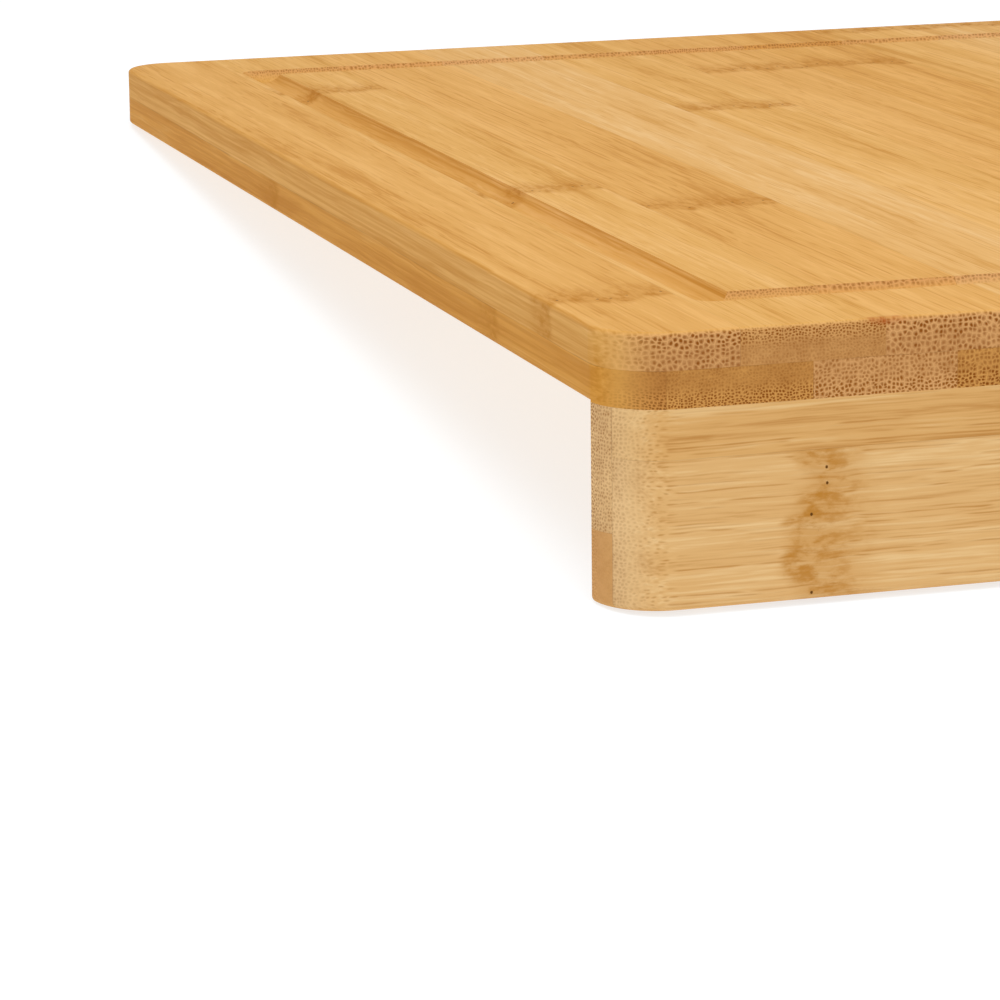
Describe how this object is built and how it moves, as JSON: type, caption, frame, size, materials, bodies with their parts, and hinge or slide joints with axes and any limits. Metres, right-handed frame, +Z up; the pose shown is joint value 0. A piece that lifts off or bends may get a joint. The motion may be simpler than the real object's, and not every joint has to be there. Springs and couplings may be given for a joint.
{
  "type": "worktop cutting board",
  "caption": "Rectangular bamboo cutting board of edge-glued strips in staggered plies, with a juice groove and a lip under its front edge that hooks over a worktop.",
  "frame": {"origin": "middle of the worktop's front edge: on the board's underside, where it meets the back of the lip, halfway along the board", "axes": "+X to the right along the front edge, +Y back over the worktop, +Z up"},
  "size_m": [0.45, 0.345, 0.044],
  "materials": {
    "bamboo_pale": "sanded and lightly oiled, pale strip",
    "bamboo_honey": "sanded and lightly oiled, honey strip",
    "bamboo_amber": "sanded and lightly oiled, amber strip",
    "beech": "turned dowel, hidden in the glue joint"
  },
  "bodies": {
    "root": {"top_strip_01": "bamboo_amber", "top_strip_02": "bamboo_honey", "top_strip_03": "bamboo_amber", "top_strip_04": "bamboo_pale", "top_strip_05": "bamboo_honey", "top_strip_06": "bamboo_amber", "top_strip_07": "bamboo_amber", "top_strip_08": "bamboo_honey", "top_strip_09": "bamboo_pale", "top_strip_10": "bamboo_honey", "top_strip_11": "bamboo_honey", "top_strip_12": "bamboo_amber", "top_strip_13": "bamboo_honey", "top_strip_14": "bamboo_amber", "top_strip_15": "bamboo_honey", "top_strip_16": "bamboo_pale", "top_strip_17": "bamboo_pale", "top_strip_18": "bamboo_amber", "top_strip_19": "bamboo_pale", "bottom_strip_01": "bamboo_amber", "bottom_strip_02": "bamboo_amber", "bottom_strip_03": "bamboo_pale", "bottom_strip_04": "bamboo_amber", "bottom_strip_05": "bamboo_honey", "bottom_strip_06": "bamboo_pale", "bottom_strip_07": "bamboo_honey", "bottom_strip_08": "bamboo_amber", "bottom_strip_09": "bamboo_pale", "bottom_strip_10": "bamboo_honey", "bottom_strip_11": "bamboo_pale", "bottom_strip_12": "bamboo_honey", "bottom_strip_13": "bamboo_amber", "bottom_strip_14": "bamboo_pale", "bottom_strip_15": "bamboo_honey", "bottom_strip_16": "bamboo_honey", "bottom_strip_17": "bamboo_amber", "bottom_strip_18": "bamboo_pale", "bottom_strip_19": "bamboo_honey", "bottom_strip_20": "bamboo_amber", "lip_front_upper_strip": "bamboo_amber", "lip_front_lower_strip": "bamboo_pale", "lip_back_upper_strip": "bamboo_amber", "lip_back_lower_strip": "bamboo_amber", "lip_dowels": "beech"}
  },
  "joints": []
}
